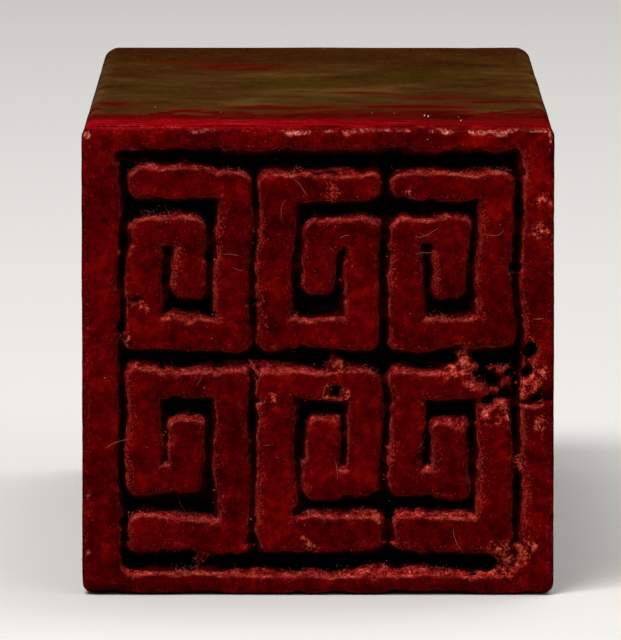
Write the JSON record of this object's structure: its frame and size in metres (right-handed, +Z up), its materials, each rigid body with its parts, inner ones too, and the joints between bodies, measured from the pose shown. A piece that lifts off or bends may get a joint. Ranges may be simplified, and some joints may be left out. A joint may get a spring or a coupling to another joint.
{
  "type": "stone seal stamp",
  "caption": "Square stone seal with a relief fret carved in one end, a plain border with an old break, and dried red seal paste on its printing surfaces and rim.",
  "frame": {"origin": "middle of the long side that the seal rests on, on the resting plane", "axes": "+Z up from the resting side, +Y along the seal from the printing face to the butt end, +X to the right as one looks at the printing face"},
  "size_m": [0.0252, 0.06, 0.025],
  "materials": {
    "stone": "satin",
    "seal_paste": "satin"
  },
  "bodies": {
    "root": {"seal_stone": "stone", "border_paste": "seal_paste", "lower_left_scroll_paste": "seal_paste", "lower_middle_scroll_paste": "seal_paste", "lower_right_scroll_paste": "seal_paste", "upper_left_scroll_paste": "seal_paste", "upper_middle_scroll_paste": "seal_paste", "upper_right_scroll_paste": "seal_paste", "upper_side_paste": "seal_paste", "left_side_paste": "seal_paste", "right_side_paste": "seal_paste"}
  },
  "joints": []
}
